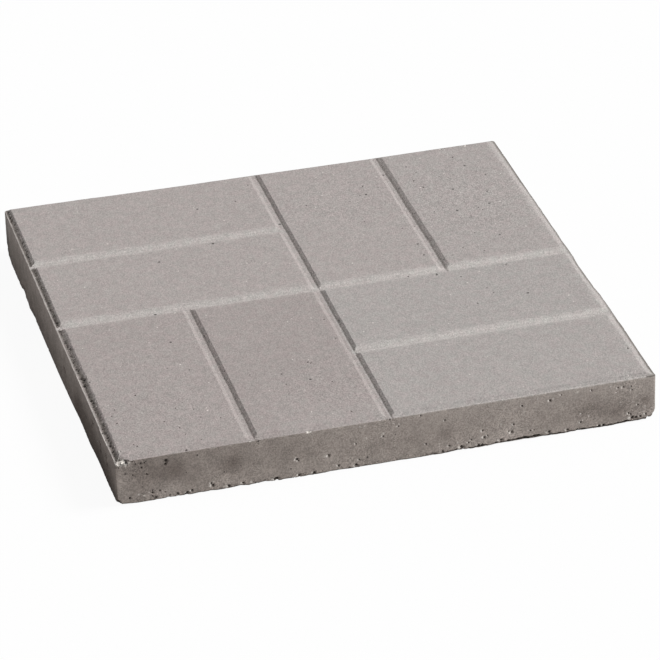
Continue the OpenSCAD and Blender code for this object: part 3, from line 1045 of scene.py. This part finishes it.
# %% Finishes
face_finish = concrete(
    "moulded_face_concrete", "tone", [(0.0, "#a39a97"), (0.6, "#aba3a0"), (1.0, "#aba5a2")],
    sand_mm=0.75, speckle=0.27, mottle=0.035, hue=0.015, relief_mm=0.25,
    pits=(0.32, 0.9), flecks=(0.24, 0.75))
side_finish = concrete(
    "mould_side_concrete", "damp_and_shade", [(0.0, "#b1a7a0"), (0.5, "#9e948d"), (1.0, "#594e47")],
    sand_mm=0.9, speckle=0.28, mottle=0.08, hue=0.004, relief_mm=0.25,
    pits=(0.26, 0.88), flecks=(0.22, 0.75))
underside_finish = concrete(
    "struck_underside_concrete", "damp_and_shade", [(0.0, "#a69d97"), (1.0, "#8f8680")],
    sand_mm=2.0, speckle=0.4, mottle=0.12, hue=0.01, relief_mm=0.8,
    pits=(0.3, 0.5), flecks=(0.2, 0.6))
for finish in (face_finish, side_finish, underside_finish):
    slab.data.materials.append(finish)
finish_of_side = np.array([0, 2, 1, 1, 1, 1])
mesh.polygons.foreach_set("material_index", finish_of_side[face_sides])
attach(slab, "root")
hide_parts("paving_slab")
print("Finishes:", [m.name for m in slab.data.materials])

# %% [markdown]
# ## Studio floor
#
# The slab lies on a plain white floor. The camera sees it almost wholly as plain white, whatever
# the light, and the small rest of its look takes the light and the slab's soft shadow. For all
# other rays it is matt and nearly white, so it throws light back at the sides.

# %% Floor
FLOOR_SIZE = 12.0
PLAIN_WHITE_SHARE = 0.94
floor_mesh = bpy.data.meshes.new("studio_floor")
edge = FLOOR_SIZE / 2
floor_mesh.from_pydata([(-edge, -edge, 0), (edge, -edge, 0), (edge, edge, 0), (-edge, edge, 0)],
                       [], [(0, 1, 2, 3)])
floor = bpy.data.objects.new("studio_floor", floor_mesh)
bpy.context.collection.objects.link(floor)

white_floor, tree = new_material("white_studio_floor")
matt = add(tree, "BsdfDiffuse", {"Color": linear("#eeeeee")})
glow = add(tree, "Emission", {"Color": linear("#ffffff"), "Strength": 1.0})
seen = add(tree, "LightPath")
share = add(tree, "Math", {0: seen.outputs["Is Camera Ray"], 1: PLAIN_WHITE_SHARE},
            operation="MULTIPLY")
blend = add(tree, "MixShader", {0: share.outputs[0], 1: matt.outputs[0], 2: glow.outputs[0]})
add(tree, "OutputMaterial", {"Surface": blend.outputs[0]})
floor.data.materials.append(white_floor)
print("Floor of", FLOOR_SIZE, "m")

# %% [markdown]
# ## Light
#
# One large soft lamp stands at the right, half way up the sky, in an even pale surround. Upward
# faces get just the light at which a colour shows as it is written. The left slopes and the left
# side get little more than the surround and what the floor throws back.

# %% Lamp and surround
SURROUND = 0.36
LAMP_HEIGHT = math.radians(45)
LAMP_TURN = math.radians(-5)
LAMP_SOFTNESS = math.radians(25)
world = bpy.data.worlds.new("pale_surround")
world.use_nodes = True
world.node_tree.nodes["Background"].inputs["Color"].default_value = linear("#ffffff")
world.node_tree.nodes["Background"].inputs["Strength"].default_value = SURROUND
bpy.context.scene.world = world

lamp_data = bpy.data.lights.new("large_soft_lamp", "SUN")
lamp_data.energy = (1 - SURROUND) * math.pi / math.sin(LAMP_HEIGHT)
lamp_data.angle = LAMP_SOFTNESS
lamp = bpy.data.objects.new("large_soft_lamp", lamp_data)
towards_lamp = Vector((math.cos(LAMP_HEIGHT) * math.cos(LAMP_TURN),
                       math.cos(LAMP_HEIGHT) * math.sin(LAMP_TURN), math.sin(LAMP_HEIGHT)))
lamp.rotation_euler = towards_lamp.to_track_quat("Z", "Y").to_euler()
bpy.context.collection.objects.link(lamp)
print("Lamp", round(lamp_data.energy, 2), "W per square metre, surround", SURROUND)

# %% [markdown]
# ## Camera
#
# The slab is seen from nearly three metres away through a long lens, 29 degrees above the floor
# and 14 degrees round to the left, with the camera held a little off level.

# %% Camera
AIM = Vector((-7.7, -66.2, SLAB_T)) * MM
CAMERA_DISTANCE = 2.9114
CAMERA_ROUND = math.radians(-14.32)
CAMERA_HEIGHT = math.radians(29.16)
CAMERA_ROLL = math.radians(-1.64)
LENS_MM = 215.8
FILM_WIDTH_MM = 36.0
FURTHEST_SEEN = 50.0
camera_data = bpy.data.cameras.new("camera")
camera_data.sensor_width = FILM_WIDTH_MM
camera_data.lens = LENS_MM
camera_data.clip_end = FURTHEST_SEEN
camera = bpy.data.objects.new("camera", camera_data)
turn = (Matrix.Rotation(CAMERA_ROUND, 4, "Z") @ Matrix.Rotation(math.pi / 2 - CAMERA_HEIGHT, 4, "X")
        @ Matrix.Rotation(CAMERA_ROLL, 4, "Z"))
camera.matrix_world = Matrix.Translation(AIM + CAMERA_DISTANCE * turn.col[2].to_3d()) @ turn
bpy.context.collection.objects.link(camera)
bpy.context.scene.camera = camera
bpy.context.scene.view_settings.view_transform = "Standard"
print("Camera at", [round(v, 3) for v in camera.matrix_world.translation])
